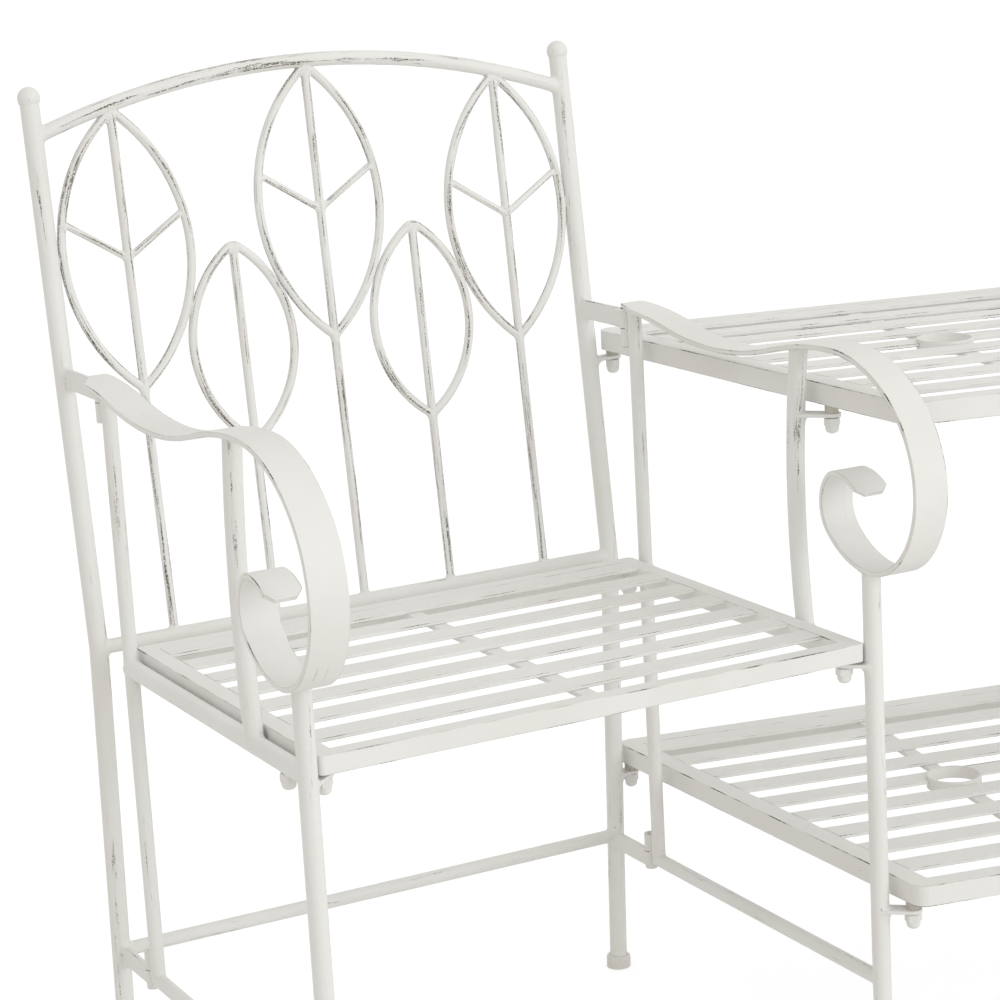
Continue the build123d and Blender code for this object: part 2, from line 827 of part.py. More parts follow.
def chair_fixings():
    """Fixings of one chair, on its right-hand side: two for the seat panel, one rail bolt."""
    seat_base = seat_top_height - seat_panel_rail_height
    inward = seat_half_width - seat_stud_inset
    leg = upright_bar(0, foot_floor, scroll_bottom_height, front_leg_diameter)
    upright = upright_bar(upright_setback, stretcher_height, seat_top_height, upright_diameter)
    rail_front = Vector(frame_x, 0, seat_rail_height)
    rail_back = Vector(frame_x, upright_setback, seat_rail_height)
    rail = rod(rail_front, rail_back, seat_rail_diameter + 2 * weld_gap)
    front = fixing((frame_x, 0), (inward, seat_stud_setback), seat_base, seat_spacer_height, [leg, rail])
    back = fixing(
        (frame_x, upright_setback), (inward, upright_setback), seat_base, seat_spacer_height, [upright, rail]
    )
    bolt = rail_bolt_top()
    nut_seat = bolt - Vector(0, 0, seat_rail_diameter / 2 + weld_gap)
    nut_end = nut_seat - Vector(0, 0, nut_height - 3 * stud_end_room)
    extra = {"panel_studs": rod(bolt, nut_end, stud_diameter), "domed_nuts": domed_nut(nut_seat)}
    return [front, back, extra]


def table_fixings():
    """Fixings of both table tiers on the inner side of one chair."""
    table_edge = frame_x + table_side_gap
    across = table_edge + table_stud_inset
    across_at_back = table_edge + table_back_stud_inset
    top_base = table_top_height - table_rail_height
    shelf_base = shelf_top_height - table_rail_height
    bracket_drop = table_spacer_height + bracket_thickness
    top_post = post_y(top_base - bracket_drop)
    shelf_post = post_y(shelf_base - bracket_drop)
    post = post_clear(1)
    support = support_tube(support_diameter + 2 * weld_gap)
    support_setback = support_point(top_base - bracket_drop)
    leg = upright_bar(0, foot_floor, scroll_bottom_height, front_leg_diameter)
    places = [
        ((post_x, top_post), (across_at_back, top_post), top_base, [post]),
        ((post_x, shelf_post), (across, shelf_post), shelf_base, [post]),
        ((frame_x, support_setback), (across, table_stud_setback), top_base, [support]),
        ((frame_x, 0), (across, -shelf_stud_forward), shelf_base, [leg]),
    ]
    return [fixing(root, stud, base, table_spacer_height, clear) for root, stud, base, clear in places]


def foot_cap(axis_point, axis_direction, tube_diameter):
    """Cup under a tube, cut flat at the floor."""
    plane = Plane(origin=axis_point, z_dir=axis_direction)
    drop = foot_floor + foot_diameter
    body = Solid.make_cylinder(foot_diameter / 2, foot_height - foot_floor + drop, plane.offset(-drop))
    rim = body.edges().sort_by(Axis.Z)[-1]
    body = fillet(rim, foot_rounding)
    socket = Solid.make_cylinder(tube_diameter / 2 + fit_gap, foot_height, plane)
    return largest((body - socket).split(Plane.XY, keep=Keep.TOP))


# A whole chair in its own axes


def mirrored(solid):
    """The same piece on the other side of the plane x = 0."""
    return solid.mirror(Plane.YZ)


def chair():
    """Every piece of a chair: named pieces, and the groups shared by the whole object."""
    pieces = back_frame()
    pieces.update(seat_panel())
    groups = {}

    def add_group(name, *solids):
        groups.setdefault(name, []).extend(solids)

    frame = side_frame()
    for name in ("front_leg", "armrest"):
        pieces["inner_" + name] = [frame[name]]
        pieces["outer_" + name] = [mirrored(frame[name])]
    for name in ("rear_upright", "side_stretcher", "seat_side_rail", "arm_support"):
        pieces[name + "s"] = [mirrored(frame[name]), frame[name]]
    hinge = hinges()
    pieces["hinge_straps"] = hinge["hinge_straps"] + [mirrored(strap) for strap in hinge["hinge_straps"]]
    for name in ("hinge_knuckles", "hinge_pins"):
        add_group(name, *hinge[name], *[mirrored(solid) for solid in hinge[name]])
    add_group("ball_finials", finial(-1), finial(1))
    for fitting in chair_fixings():
        for name, solid in fitting.items():
            add_group(name, solid, mirrored(solid))
    for fitting in table_fixings():
        for name, solid in fitting.items():
            add_group(name, solid)
    splay = Vector(0, -sin(radians(post_foot_splay)), cos(radians(post_foot_splay)))
    leg_foot = foot_cap(Vector(frame_x, 0, foot_floor), Vector(0, 0, 1), front_leg_diameter)
    post_foot = foot_cap(Vector(post_x, post_y(foot_floor), foot_floor), splay, post_diameter)
    add_group("foot_caps", leg_foot, mirrored(leg_foot), post_foot, mirrored(post_foot))
    return pieces, groups


def chair_place():
    """Where the left chair stands: its inner frame runs beside the table's slanted rail."""
    turn = radians(splay_angle)
    across, back = frame_x + table_side_gap, -table_front_overhang
    corner_x, corner_y = table_corners[0]
    origin_x = corner_x - (cos(turn) * across - sin(turn) * back)
    origin_y = corner_y - (sin(turn) * across + cos(turn) * back)
    return Location((origin_x, origin_y, 0), (0, 0, splay_angle))


def assemble():
    """All nodes of the object: left chair, its mirror image, the table and the shared groups."""
    nodes = {}
    pieces, groups = chair()
    place = chair_place()
    for name, solids in pieces.items():
        left = [solid.moved(place) for solid in solids]
        nodes["left_" + name] = left
        nodes["right_" + name] = [mirrored(solid) for solid in left]
    nodes.update(table_tier("table_top", table_top_height))
    nodes.update(table_tier("shelf", shelf_top_height))
    for name, solids in groups.items():
        left = [solid.moved(place) for solid in solids]
        nodes[name] = left + [mirrored(solid) for solid in left]
    return nodes


def centred(nodes):
    """Move the object along Y so that its bounding box is centred on the origin."""
    boxes = [solid.bounding_box() for solids in nodes.values() for solid in solids]
    front = min(box.min.Y for box in boxes)
    back = max(box.max.Y for box in boxes)
    shift = Location((0, -(front + back) / 2, 0))
    return {name: [solid.moved(shift) for solid in solids] for name, solids in nodes.items()}


for node_name, node_solids in centred(assemble()).items():
    shape = node_solids[0] if len(node_solids) == 1 else Compound(node_solids)
    export_step(shape, f"parts/{node_name}.step")
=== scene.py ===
import math
from heapq import heappop, heappush

import bmesh
import bpy
from mathutils import Matrix, Vector, noise
from mathutils.bvhtree import BVHTree


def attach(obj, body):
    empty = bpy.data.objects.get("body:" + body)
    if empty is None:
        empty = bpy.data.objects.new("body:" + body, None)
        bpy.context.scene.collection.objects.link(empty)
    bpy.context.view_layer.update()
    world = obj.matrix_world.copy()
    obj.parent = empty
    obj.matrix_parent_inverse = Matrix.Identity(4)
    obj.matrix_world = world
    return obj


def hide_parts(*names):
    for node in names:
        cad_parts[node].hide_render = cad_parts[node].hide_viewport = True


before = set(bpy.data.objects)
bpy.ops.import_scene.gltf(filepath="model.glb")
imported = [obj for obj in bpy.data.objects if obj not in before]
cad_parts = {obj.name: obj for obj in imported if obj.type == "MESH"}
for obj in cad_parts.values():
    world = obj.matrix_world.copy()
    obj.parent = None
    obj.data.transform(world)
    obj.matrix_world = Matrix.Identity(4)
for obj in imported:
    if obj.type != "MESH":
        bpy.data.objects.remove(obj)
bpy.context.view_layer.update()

# Companion seat in distressed off-white paint over its packed steel frame. Metres, front towards -Y.
scene = bpy.context.scene
scene.view_settings.view_transform = "Standard"

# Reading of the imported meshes
merge_distance = 1e-6
flat_angle = math.radians(0.3)
corner_angle = math.radians(35)
contact_start = 2e-5
contact_reach = 4e-4
contact_corner_share = 0.85
small_face = 0.006
mitre_flatness = 0.999
chair_turn = math.radians(11)

# Grain of the wear along each bar
grain_size = 0.006
grain_offset_pitch = 37
grain_offset_reach = 5

# Rounding of the bars' and rails' edges
arm_rounding = 0.0009
rail_rounding = 0.0008
slat_rounding = 0.0005
ring_rounding = 0.0003
fitting_rounding = 0.0006
rounding_steps = 3
normal_weight = 80

# Weld fillets
tube_weld = 0.0032
bar_weld = 0.0030
strap_weld = 0.0052
support_weld = 0.0042
bracket_weld = 0.0022
bracket_gusset = 0.0062
weld_step = 0.0012
strap_weld_step = 0.0006
weld_profile_steps = 5
weld_evening = 3
strap_weld_evening = 2
weld_unevenness = 0.22
weld_noise_pitch = 160
weld_foot_spread = 1.6
weld_least_head = 0.25
weld_proud = 0.00006
weld_sink = 0.0006

# Beads that blend a leaf's two bars into its stem
leaf_bar_radius = 0.004
leaf_foot_rise = 0.0030
leaf_foot_low = (0.0040, -0.0085)
leaf_foot_bend = (0.0042, -0.0032)
leaf_foot_high = (0.0090, 0.0004)
leaf_foot_top = 0.0055
leaf_foot_lift = 0.00012
leaf_foot_tuck = 0.96
leaf_foot_proud = 1.012
leaf_foot_sides = 32
leaf_foot_flank_steps = 8
leaf_foot_top_steps = 7

# Domed nuts, and the dark discs of painted shade in the gaps above them and in the hinges
nut_flats = 0.0128
nut_hex_height = 0.0072
nut_height = 0.0150
nut_dome_width = 0.0124
nut_dome_taper = 0.95
nut_shoulder_share = 0.42
nut_dome_steps = 8
nut_dome_sides = 24
nut_chamfer = 0.0007
nut_most_turn = math.pi / 3
nut_turn_seed = 4
nut_seam_height = 0.0009
nut_seam_width = 0.0126
rail_nut_sink = 0.0022
rail_nut_reach = 0.006
hinge_seam_height = 0.0009
hinge_seam_width = 0.01218
seam_sides = 32
pin_recess = 0.0025

# Rear end of the inner arms, a tongue over the hinge
tongue_length = 0.030
tongue_width = 0.016
inner_tongue_width = 0.024
upper_hinge_height = 0.4

# Paint colours, linear
paint_light = (0.82, 0.82, 0.808, 1.0)
paint_deep = (0.775, 0.769, 0.745, 1.0)
rubbed_paint = (0.50, 0.47, 0.42, 1.0)
bare_steel = (0.10, 0.088, 0.072, 1.0)
# Dark discs of painted shade for the gaps above the nuts and in the hinges
seam_shade_light = (0.13, 0.115, 0.095, 1.0)
seam_shade_deep = (0.06, 0.052, 0.042, 1.0)
# Stud spacers painted darker: painted shade of the gap between bracket plate and panel
spacer_shade_light = (0.64, 0.61, 0.56, 1.0)
spacer_shade_deep = (0.42, 0.39, 0.34, 1.0)
foot_light = (0.78, 0.77, 0.74, 1.0)
foot_deep = (0.70, 0.69, 0.66, 1.0)

# Patterns in the paint: their scales, the noise values they start and end at, and their strength
tone_scale = 7.0
patch_scale = 26.0
skin_scale = 420.0
crumb_scale = 900.0
band_scale = 1.3
band_pace = 0.8
line_scale = 1.7
line_detail = 4.0
line_roughness = 0.6
line_core = 0.3
tone_bounds = (0.30, 0.62)
brushed_bounds = (0.38, 0.54)
rub_crumbs = (0.35, 0.62)
line_crumbs = (0.38, 0.52)
edge_crumbs = (0.34, 0.50)
rub_margins = (0.04, 0.10)
rub_strength = 0.45
skin_strength = 0.14
skin_depth = 0.0006
paint_shine = 0.35
least_roughness = 0.42
most_roughness = 0.64

# Floor and light
floor_half_width = 30
floor_bounce = (0.86, 0.85, 0.83, 1)
floor_shadow = (0.60, 0.612, 0.642, 1)
floor_glow = 0.57
ambient_strength = 0.785
ambient_colour = (1.0, 0.98, 0.935, 1)
lamp_target = (0, 0, 0.45)

# Camera of the photograph
camera_place = Vector((-1.11140, -2.32484, 1.10742))
camera_turn = math.radians(-17.1340)
camera_tilt = math.radians(13.2579)
camera_roll = math.radians(-3.0039)
camera_lens = 104.214
camera_sensor = 36
camera_shift = (-0.06, 0.03)


# Materials


def add_node(tree, kind, place, **settings):
    """Node of a kind with its own settings, and input values given by name."""
    node = tree.nodes.new(kind)
    node.location = place
    inputs = settings.pop("inputs", {})
    for name, value in settings.items():
        setattr(node, name, value)
    for name, value in inputs.items():
        node.inputs[name].default_value = value
    return node


def between(tree, value, low, high, place):
    """Value of a texture stretched to 0 below a low and 1 above a high bound."""
    node = add_node(tree, "ShaderNodeMapRange", place, interpolation_type="SMOOTHSTEP")
    node.inputs["From Min"].default_value = low
    node.inputs["From Max"].default_value = high
    tree.links.new(value, node.inputs["Value"])
    return node.outputs["Result"]


def combined(tree, operation, first, second, place):
    """Two values joined by a Math node."""
    node = add_node(tree, "ShaderNodeMath", place, operation=operation, use_clamp=True)
    for socket, value in zip(node.inputs, (first, second)):
        if isinstance(value, float):
            socket.default_value = value
        else:
            tree.links.new(value, socket)
    return node.outputs[0]


def pattern(tree, vector, scale, detail, place):
    """Noise texture on a vector."""
    node = add_node(tree, "ShaderNodeTexNoise", place)
    node.inputs["Scale"].default_value = scale
    node.inputs["Detail"].default_value = detail
    tree.links.new(vector, node.inputs["Vector"])
    return node.outputs["Fac"]


def attribute(tree, name, output, place):
    """Value or vector that a piece's mesh carries."""
    node = add_node(tree, "ShaderNodeAttribute", place, attribute_name=name)
    return node.outputs[output]


def lengthwise(tree, side, along, scale, pace, place):
    """Noise drawn out along a bar: quick round its section, slow along its length."""
    node = add_node(tree, "ShaderNodeTexNoise", place, noise_dimensions="4D")
    node.inputs["Scale"].default_value = scale
    node.inputs["Detail"].default_value = line_detail
    node.inputs["Roughness"].default_value = line_roughness
    slow = add_node(tree, "ShaderNodeMath", (place[0] - 200, place[1] - 150), operation="MULTIPLY")
    slow.inputs[1].default_value = pace
    tree.links.new(along, slow.inputs[0])
    tree.links.new(side, node.inputs["Vector"])
    tree.links.new(slow.outputs[0], node.inputs["W"])
    return node.outputs["Fac"]


def mixed_colour(tree, share, first, second, place):
    """One colour laid over another by a share."""
    node = add_node(tree, "ShaderNodeMix", place, data_type="RGBA")
    tree.links.new(share, node.inputs["Factor"])
    tree.links.new(first, node.inputs["A"])
    node.inputs["B"].default_value = second
    return node.outputs["Result"]


def painted_steel(name, light, deep, on_tube, line_width, line_bounds, edge_bounds, pace=9.0):
    """Off-white paint over dark steel: jagged lines rubbed through lengthwise, a grey rub, and worn edges."""
    material = bpy.data.materials.new(name)
    material.use_nodes = True
    tree = material.node_tree
    shader = tree.nodes["Principled BSDF"]
    shader.inputs["Specular IOR Level"].default_value = paint_shine
    place = add_node(tree, "ShaderNodeTexCoord", (-1800, 0)).outputs["Object"]
    along = attribute(tree, "along", "Fac", (-1800, -700))
    if on_tube:
        side = add_node(tree, "ShaderNodeNewGeometry", (-1800, -400)).outputs["Normal"]
    else:
        side = attribute(tree, "side", "Vector", (-1800, -400))

    tone = pattern(tree, place, tone_scale, 4.0, (-1200, 400))
    colour = add_node(tree, "ShaderNodeValToRGB", (-900, 400))
    for element, position, shade in zip(colour.color_ramp.elements, tone_bounds, (deep, light)):
        element.position = position
        element.color = shade
    tree.links.new(tone, colour.inputs["Fac"])

    crumbs = pattern(tree, place, crumb_scale, 2.0, (-1200, 100))
    band = lengthwise(tree, side, along, band_scale, pace * band_pace, (-1200, -150))
    rub_bounds = (line_bounds[0] - rub_margins[0], line_bounds[1] + rub_margins[1])
    rub = between(tree, band, *rub_bounds, (-900, -150))
    rub = combined(tree, "MULTIPLY", rub, between(tree, crumbs, *rub_crumbs, (-900, 100)), (-650, 0))

    lines = lengthwise(tree, side, along, line_scale, pace, (-1200, -450))
    level = add_node(tree, "ShaderNodeMath", (-1000, -450), operation="SUBTRACT")
    level.inputs[1].default_value = 0.5
    tree.links.new(lines, level.inputs[0])
    away = add_node(tree, "ShaderNodeMath", (-850, -450), operation="ABSOLUTE")
    tree.links.new(level.outputs[0], away.inputs[0])
    line = between(tree, away.outputs[0], line_width, line_width * line_core, (-700, -450))
    line = combined(tree, "MULTIPLY", line, between(tree, band, *line_bounds, (-700, -650)), (-500, -450))
    line = combined(tree, "MULTIPLY", line, between(tree, crumbs, *line_crumbs, (-700, -250)), (-350, -450))

    edge = attribute(tree, "edge", "Fac", (-1200, -1000))
    patches = pattern(tree, place, patch_scale, 5.0, (-1200, -850))
    worn = combined(tree, "MULTIPLY", between(tree, patches, *edge_bounds, (-900, -850)), edge, (-650, -850))
    worn = combined(tree, "MULTIPLY", worn, between(tree, crumbs, *edge_crumbs, (-650, -1050)), (-450, -850))
    bare = combined(tree, "MAXIMUM", line, worn, (-200, -600))

    brushed = between(tree, patches, *brushed_bounds, (-900, -1150))
    brushed = combined(tree, "MULTIPLY", brushed, edge, (-650, -1200))
    softly = combined(tree, "MAXIMUM", rub, brushed, (-550, 100))
    softly = combined(tree, "MULTIPLY", softly, rub_strength, (-450, 100))
    rubbed = mixed_colour(tree, softly, colour.outputs["Color"], rubbed_paint, (-250, 300))
    finish = mixed_colour(tree, bare, rubbed, bare_steel, (-50, 200))
    tree.links.new(finish, shader.inputs["Base Color"])

    skin = pattern(tree, place, skin_scale, 3.0, (-650, 250))
    roughness = add_node(tree, "ShaderNodeMapRange", (-250, 0))
    roughness.inputs["To Min"].default_value = least_roughness
    roughness.inputs["To Max"].default_value = most_roughness
    tree.links.new(skin, roughness.inputs["Value"])
    tree.links.new(roughness.outputs["Result"], shader.inputs["Roughness"])

    height = combined(tree, "SUBTRACT", skin, bare, (-250, -250))
    bump = add_node(tree, "ShaderNodeBump", (-50, -250))
    bump.inputs["Strength"].default_value = skin_strength
    bump.inputs["Distance"].default_value = skin_depth
    tree.links.new(height, bump.inputs["Height"])
    tree.links.new(bump.outputs["Normal"], shader.inputs["Normal"])
    return material


paints = (paint_light, paint_deep)
feet = (foot_light, foot_deep)
spacer_shades = (spacer_shade_light, spacer_shade_deep)
seam_shades = (seam_shade_light, seam_shade_deep)
tube_paint = painted_steel("distressed_tube_paint", *paints, True, 0.040, (0.58, 0.68), (0.50, 0.60))
leaf_paint = painted_steel("distressed_leaf_paint", *paints, True, 0.075, (0.52, 0.59), (0.50, 0.60))
rail_paint = painted_steel("distressed_top_rail_paint", *paints, True, 0.050, (0.53, 0.60), (0.50, 0.60))
arm_paint = painted_steel("distressed_arm_paint", *paints, False, 0.022, (0.63, 0.72), (0.54, 0.62), 6.0)
panel_paint = painted_steel("distressed_panel_paint", *paints, False, 0.022, (0.68, 0.78), (0.51, 0.64), 7.0)
slat_paint = painted_steel("distressed_slat_paint", *paints, False, 0.022, (0.67, 0.77), (0.53, 0.67), 8.0)
weld_paint = painted_steel("painted_weld", *paints, True, 0.040, (0.61, 0.71), (0.50, 0.60), 20.0)
fitting_paint = painted_steel("painted_fittings", *paints, True, 0.030, (0.69, 0.79), (0.57, 0.66), 12.0)
foot_plastic = painted_steel("moulded_foot_plastic", *feet, True, 0.030, (0.64, 0.74), (0.60, 0.70), 12.0)
# Spacer paint darkened: painted shade of the gap between bracket plate and panel
shaded_spacer_paint = painted_steel("spacer_paint_with_painted_shade", *spacer_shades, True, 0.030, (0.60, 0.70), (0.60, 0.70), 30.0)
# Paint of the dark discs: painted shade in the gaps above the nuts and in the hinges
seam_shadow = painted_steel("painted_shade_seam", *seam_shades, True, 0.030, (0.60, 0.70), (0.60, 0.70), 30.0)


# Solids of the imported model


class Solid:
    """One closed solid of a CAD node: its corners, its triangles and its surface tree."""

    def __init__(self, node, corners, triangles):
        self.node = node
        self.corners = corners
        self.triangles = triangles
        self.surface = BVHTree.FromPolygons(corners, triangles)


def connected_groups(items, neighbours_of):
    """Lists of items that hang together through their neighbours."""
    seen = set()
    groups = []
    for item in items:
        if item in seen:
            continue
        seen.add(item)
        group, front = [], [item]
        while front:
            here = front.pop()
            group.append(here)
            for neighbour in neighbours_of(here):
                if neighbour not in seen:
                    seen.add(neighbour)
                    front.append(neighbour)
        groups.append(group)
    return groups


def faces_beside(face, barred=()):
    """Faces that share an edge with a face, apart from barred edges."""
    return [other for edge in face.edges if edge not in barred for other in edge.link_faces]


def vertices_beside(vertex):
    """Vertices that share an edge with a vertex."""
    return [edge.other_vert(vertex) for edge in vertex.link_edges]


def join_rails(mesh):
    """Takes out the mitre faces where one rail of a panel ends against the next."""
    mitre_edges = {edge for edge in mesh.edges if len(edge.link_faces) > 2}
    if not mitre_edges:
        return
    mitres = []
    for patch in connected_groups(mesh.faces, lambda face: faces_beside(face, mitre_edges)):
        if all(abs(other.normal.dot(patch[0].normal)) > mitre_flatness for other in patch):
            mitres.extend(patch)
    bmesh.ops.delete(mesh, geom=mitres, context="FACES")


def merged_mesh(node):
    """A CAD node's triangles with their doubled corners merged."""
    mesh = bmesh.new()
    mesh.from_mesh(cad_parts[node].data)
    bmesh.ops.remove_doubles(mesh, verts=mesh.verts, dist=merge_distance)
    join_rails(mesh)
    mesh.verts.index_update()
    mesh.faces.index_update()
    mesh.faces.ensure_lookup_table()
    return mesh


def solid_from(node, group):
    """Solid of a group of faces."""
    numbers = {}
    corners = []
    triangles = []
    for face in group:
        triangle = []
        for vertex in face.verts:
            if vertex.index not in numbers:
                numbers[vertex.index] = len(corners)
                corners.append(vertex.co.copy())
            triangle.append(numbers[vertex.index])
        triangles.append(triangle)
    return Solid(node, corners, triangles)


meshes = {}
solids = []
owner_of_face = {}
for node in sorted(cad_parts):
    meshes[node] = merged_mesh(node)
    for group in connected_groups(meshes[node].faces, faces_beside):
        for face in group:
            owner_of_face[node, face.index] = len(solids)
        solids.append(solid_from(node, group))

all_corners = []
all_triangles = []
solid_of_triangle = []
for number, solid in enumerate(solids):
    start = len(all_corners)
    all_corners.extend(solid.corners)
    for triangle in solid.triangles:
        all_triangles.append([start + corner for corner in triangle])
        solid_of_triangle.append(number)
whole_surface = BVHTree.FromPolygons(all_corners, all_triangles)


def solid_ahead(start, direction, own):
    """Number of the other solid that lies right ahead of a point, or None."""
    _, _, hit, _ = whole_surface.ray_cast(start + direction * contact_start, direction, contact_reach)
    if hit is None or solid_of_triangle[hit] == own:
        return None
    return solid_of_triangle[hit]


def touched_solid(face, own):
    """Number of the other solid that a whole face lies against, or None."""
    middle = face.calc_center_median()
    other = solid_ahead(middle, face.normal, own)
    if other is None or max(edge.calc_length() for edge in face.edges) < small_face:
        return other
    for vertex in face.verts:
        near_corner = middle.lerp(vertex.co, contact_corner_share)
        if solid_ahead(near_corner, face.normal, own) is None:
            return None
    return other


touching = {}
for node, mesh in meshes.items():
    for face in mesh.faces:
        other = touched_solid(face, owner_of_face[node, face.index])
        if other is not None:
            touching[node, face.index] = other


# Weld fillets along the edges where one solid lies against another


def rim_loops(node):
    """Closed loops round a node's welded faces, each step as (start, end, free face, other solid)."""
    mesh = meshes[node]
    rims = {}
    for edge in mesh.edges:
        if len(edge.link_faces) != 2:
            continue
        others = [touching.get((node, face.index)) for face in edge.link_faces]
        if (others[0] is None) == (others[1] is None):
            continue
        free = edge.link_faces[0] if others[0] is None else edge.link_faces[1]
        other = others[1] if others[0] is None else others[0]
        for vertex in edge.verts:
            rims.setdefault(vertex, []).append((edge, free, other))
    used = set()
    loops = []
    for vertex in rims:
        for first in rims[vertex]:
            if first[0] in used:
                continue
            loop, here = [], vertex
            step = first
            while step is not None:
                edge, free, other = step
                used.add(edge)
                ahead = edge.other_vert(here)
                loop.append((here.co.copy(), ahead.co.copy(), free, other))
                here = ahead
                step = next((rim for rim in rims[here] if rim[0] not in used), None)
            if here is vertex and len(loop) > 2:
                loops.append(loop)
    return loops


def loop_length(loop):
    """Length round a loop."""
    return sum((end - start).length for start, end, _, _ in loop)


def smoothed(vectors, passes):
    """Vectors round a ring, evened out with their neighbours."""
    for _ in range(passes):
        ring = zip(vectors[-1:] + vectors[:-1], vectors, vectors[1:] + vectors[:1])
        vectors = [(behind + here * 2 + ahead).normalized() for behind, here, ahead in ring]
    return vectors


def weld_leg(kind, outward):
    """Leg length of the fillet for a kind of piece, on the side that faces outward."""
    if kind == "panel_brackets":
        return bracket_weld + bracket_gusset * max(0.0, -outward.z) ** 2
    return weld_sizes[kind]


def kind_of(node):
    """Node name without its chair's side."""
    for side in ("left_", "right_"):
        if node.startswith(side):
            return node[len(side):]
    return node


def chair_across(node):
    """Direction across a piece's chair, from its left to its right."""
    turn = -chair_turn if node.startswith("right_") else chair_turn
    return Vector((math.cos(turn), math.sin(turn), 0))


weld_sizes = {
    "inner_front_leg": tube_weld,
    "outer_front_leg": tube_weld,
    "rear_uprights": tube_weld,
    "side_stretchers": tube_weld,
    "seat_side_rails": tube_weld,
    "arm_supports": support_weld,
    "hinge_straps": strap_weld,
    "hinge_knuckles": bar_weld,
    "back_top_rail": tube_weld,
    "rear_seat_rail": tube_weld,
    "rear_stretcher": tube_weld,
    "tall_leaves": bar_weld,
    "short_leaves": bar_weld,
    "leaf_stems": bar_weld,
    "leaf_veins": bar_weld,
    "panel_brackets": bracket_weld,
}
weld_parents = set(weld_sizes) | {"inner_back_post", "outer_back_post", "inner_armrest", "outer_armrest"}


def weld_ring(loop, node, mesh):
    """Adds one fillet to a mesh: a closed ring that is hollow towards the outside."""
    kind = kind_of(node)
    own = solids[owner_of_face[node, loop[0][2].index]]
    points, outward, parents = [], [], []
    strap = kind == "hinge_straps"
    longest_step = strap_weld_step if strap else weld_step
    for start, end, free, other in loop:
        count = max(1, round((end - start).length / longest_step))
        for step in range(count):
            points.append(start.lerp(end, step / count))
            outward.append(free.normal.copy())
            parents.append(solids[other])
    outward = smoothed(outward, strap_weld_evening if strap else weld_evening)
    count = len(points)
    rings = []
    for i in range(count):
        point, normal = points[i], outward[i]
        run = (points[(i + 1) % count] - points[i - 1]).normalized()
        _, parent_normal, _, _ = parents[i].surface.find_nearest(point)
        up = run.cross(normal).normalized()
        if up.dot(parent_normal) < 0:
            up = -up
        aside = normal - parent_normal * normal.dot(parent_normal)
        uneven = 1 + weld_unevenness * noise.noise(point * weld_noise_pitch)
        leg = weld_leg(kind, normal) * uneven
        spread = min(1.0, aside.length * weld_foot_spread)
        foot_reach = point + aside.normalized() * leg * spread
        foot, foot_normal, _, _ = parents[i].surface.find_nearest(foot_reach)
        head_reach = point + up * leg * max(spread, weld_least_head)
        head, head_normal, _, _ = own.surface.find_nearest(head_reach)
        head = head + head_normal * weld_proud
        foot = foot + foot_normal * weld_proud
        lift = (normal + parent_normal).normalized() * weld_proud
        ring = []
        for step in range(weld_profile_steps + 1):
            share = step / weld_profile_steps
            bend = head * (1 - share) ** 2 + (point + lift) * 2 * share * (1 - share) + foot * share**2
            ring.append(bend)
        ring.append(foot - foot_normal * weld_sink)
        ring.append(point - (normal + parent_normal) * weld_sink)
        ring.append(head - head_normal * weld_sink)
        rings.append([mesh.verts.new(place) for place in ring])
    for i in range(count):
        here, ahead = rings[i], rings[(i + 1) % count]
        size = len(here)
        for k in range(size):
            mesh.faces.new((here[k], here[(k + 1) % size], ahead[(k + 1) % size], ahead[k]))


weld_mesh = bmesh.new()
for node in sorted(meshes):
    if kind_of(node) not in weld_sizes:
        continue
    longest = {}
    for loop in rim_loops(node):
        other = loop[0][3]
        if kind_of(solids[other].node) not in weld_parents:
            continue
        key = (owner_of_face[node, loop[0][2].index], other)
        if key not in longest or loop_length(loop) > loop_length(longest[key]):
            longest[key] = loop
    for loop in longest.values():
        weld_ring(loop, node, weld_mesh)


def stem_line(stem):
    """A point on a straight stem's middle line, and its direction upwards."""
    sides = []
    for triangle in stem.triangles:
        for number in range(3):
            sides.append(stem.corners[triangle[number]] - stem.corners[triangle[number - 1]])
    upward = max(sides, key=lambda side: side.length).normalized()
    if upward.z < 0:
        upward = -upward
    across = upward.orthogonal().normalized()
    aside = upward.cross(across)
    middle = Vector()
    for direction in (across, aside):
        spread = [corner.dot(direction) for corner in stem.corners]
        middle += direction * (min(spread) + max(spread)) / 2
    return middle, upward


def leaf_foot_rows():
    """Height, half width and half depth of the bead, from below the leaf's foot up to its top."""
    tucked = leaf_bar_radius * leaf_foot_tuck
    rows = [(leaf_foot_low[1], tucked, tucked)]
    for step in range(leaf_foot_flank_steps + 1):
        share = step / leaf_foot_flank_steps
        width, height = (
            low * (1 - share) ** 2 + bend * 2 * share * (1 - share) + high * share**2
            for low, bend, high in zip(leaf_foot_low, leaf_foot_bend, leaf_foot_high)
        )
        rows.append((height + leaf_foot_lift, width, leaf_bar_radius * leaf_foot_proud))
    for step in range(1, leaf_foot_top_steps):
        angle = math.pi / 2 * step / leaf_foot_top_steps
        height = leaf_foot_high[1] + (leaf_foot_top - leaf_foot_high[1]) * math.sin(angle)
        rows.append((height, leaf_foot_high[0] * math.cos(angle), leaf_bar_radius * math.cos(angle)))
    return rows


